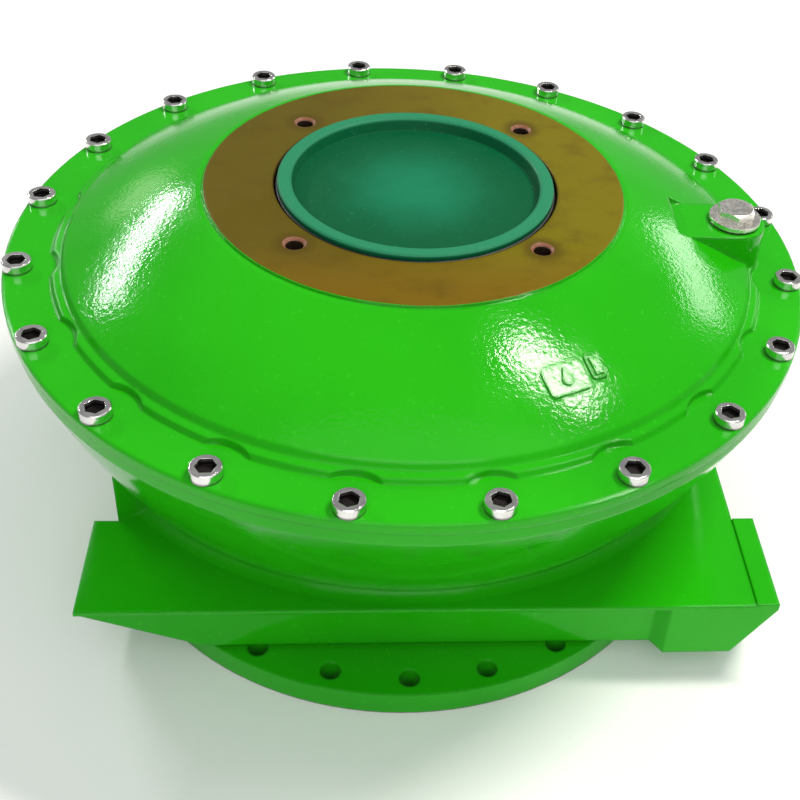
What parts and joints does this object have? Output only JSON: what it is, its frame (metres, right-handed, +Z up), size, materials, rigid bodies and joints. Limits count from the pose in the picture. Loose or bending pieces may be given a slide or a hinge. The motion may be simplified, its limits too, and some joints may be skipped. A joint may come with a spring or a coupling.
{
  "type": "worm gearbox",
  "caption": "Hollow-shaft worm gearbox with a domed bolted cover, a worm box across the front, a round mounting flange and a plugged central bore.",
  "frame": {"origin": "centre of the round mounting flange's bottom face", "axes": "+Z up along the output axis towards the cover; +X along the worm axis towards the input bore; the worm box is on the -Y side"},
  "size_m": [0.695, 0.695, 0.368],
  "materials": {
    "green_enamel": "gloss",
    "black_rubber": "satin",
    "zinc_steel": "bright zinc",
    "copper_seal": "matte",
    "bronze": "machined",
    "cage_brass": "satin",
    "bearing_steel": "ground",
    "bright_steel": "machined",
    "cast_iron": "machined",
    "teal_plastic": "matte"
  },
  "bodies": {
    "casing": {"housing": "green_enamel", "cover": "green_enamel", "cover_seal": "black_rubber", "cover_screws": "zinc_steel", "cover_dowels": "bright_steel", "filler_plug_washer": "copper_seal", "drain_plug_washer": "copper_seal", "lower_seal": "black_rubber", "lower_bush": "bronze", "lower_thrust_washer": "bronze", "upper_thrust_washer": "bronze", "upper_bush": "bronze", "upper_seal": "black_rubber", "left_bearing_outer_ring": "bearing_steel", "right_bearing_outer_ring": "bearing_steel", "left_bearing_balls": "bearing_steel", "right_bearing_balls": "bearing_steel", "left_bearing_cage": "cage_brass", "right_bearing_cage": "cage_brass", "worm_spacer": "bright_steel", "input_seal": "black_rubber", "input_retainer": "bright_steel", "input_circlip": "bright_steel", "worm_core_plug": "bright_steel"},
    "output": {"drive_sleeve": "cast_iron", "worm_wheel_rim": "bronze", "wheel_screws": "bright_steel"},
    "worm": {"worm_shaft": "bright_steel", "left_bearing_inner_ring": "bearing_steel", "right_bearing_inner_ring": "bearing_steel"},
    "cap": {"dust_cap": "teal_plastic", "dust_cap_ring": "black_rubber"},
    "filler": {"filler_plug": "zinc_steel"},
    "drain": {"drain_plug": "zinc_steel"}
  },
  "joints": [
    {"name": "output_turn", "type": "hinge", "parent": "casing", "child": "output", "pos_m": [0, 0, 0], "axis": [0, 0, 1], "continuous": true},
    {"name": "worm_turn", "type": "hinge", "parent": "casing", "child": "worm", "pos_m": [0, -0.192, 0.0585], "axis": [1, 0, 0], "continuous": true},
    {"name": "cap_lift", "type": "slide", "parent": "casing", "child": "cap", "axis": [0, 0, 1], "range_m": [0, 0.08]},
    {"name": "filler_lift", "type": "slide", "parent": "casing", "child": "filler", "axis": [0, 0, 1], "range_m": [0, 0.06]},
    {"name": "drain_pull", "type": "slide", "parent": "casing", "child": "drain", "axis": [0, 1, 0], "range_m": [0, 0.05]}
  ],
  "couplings": [
    {"joint": "worm_turn", "follows": "output_turn", "ratio": -70}
  ]
}
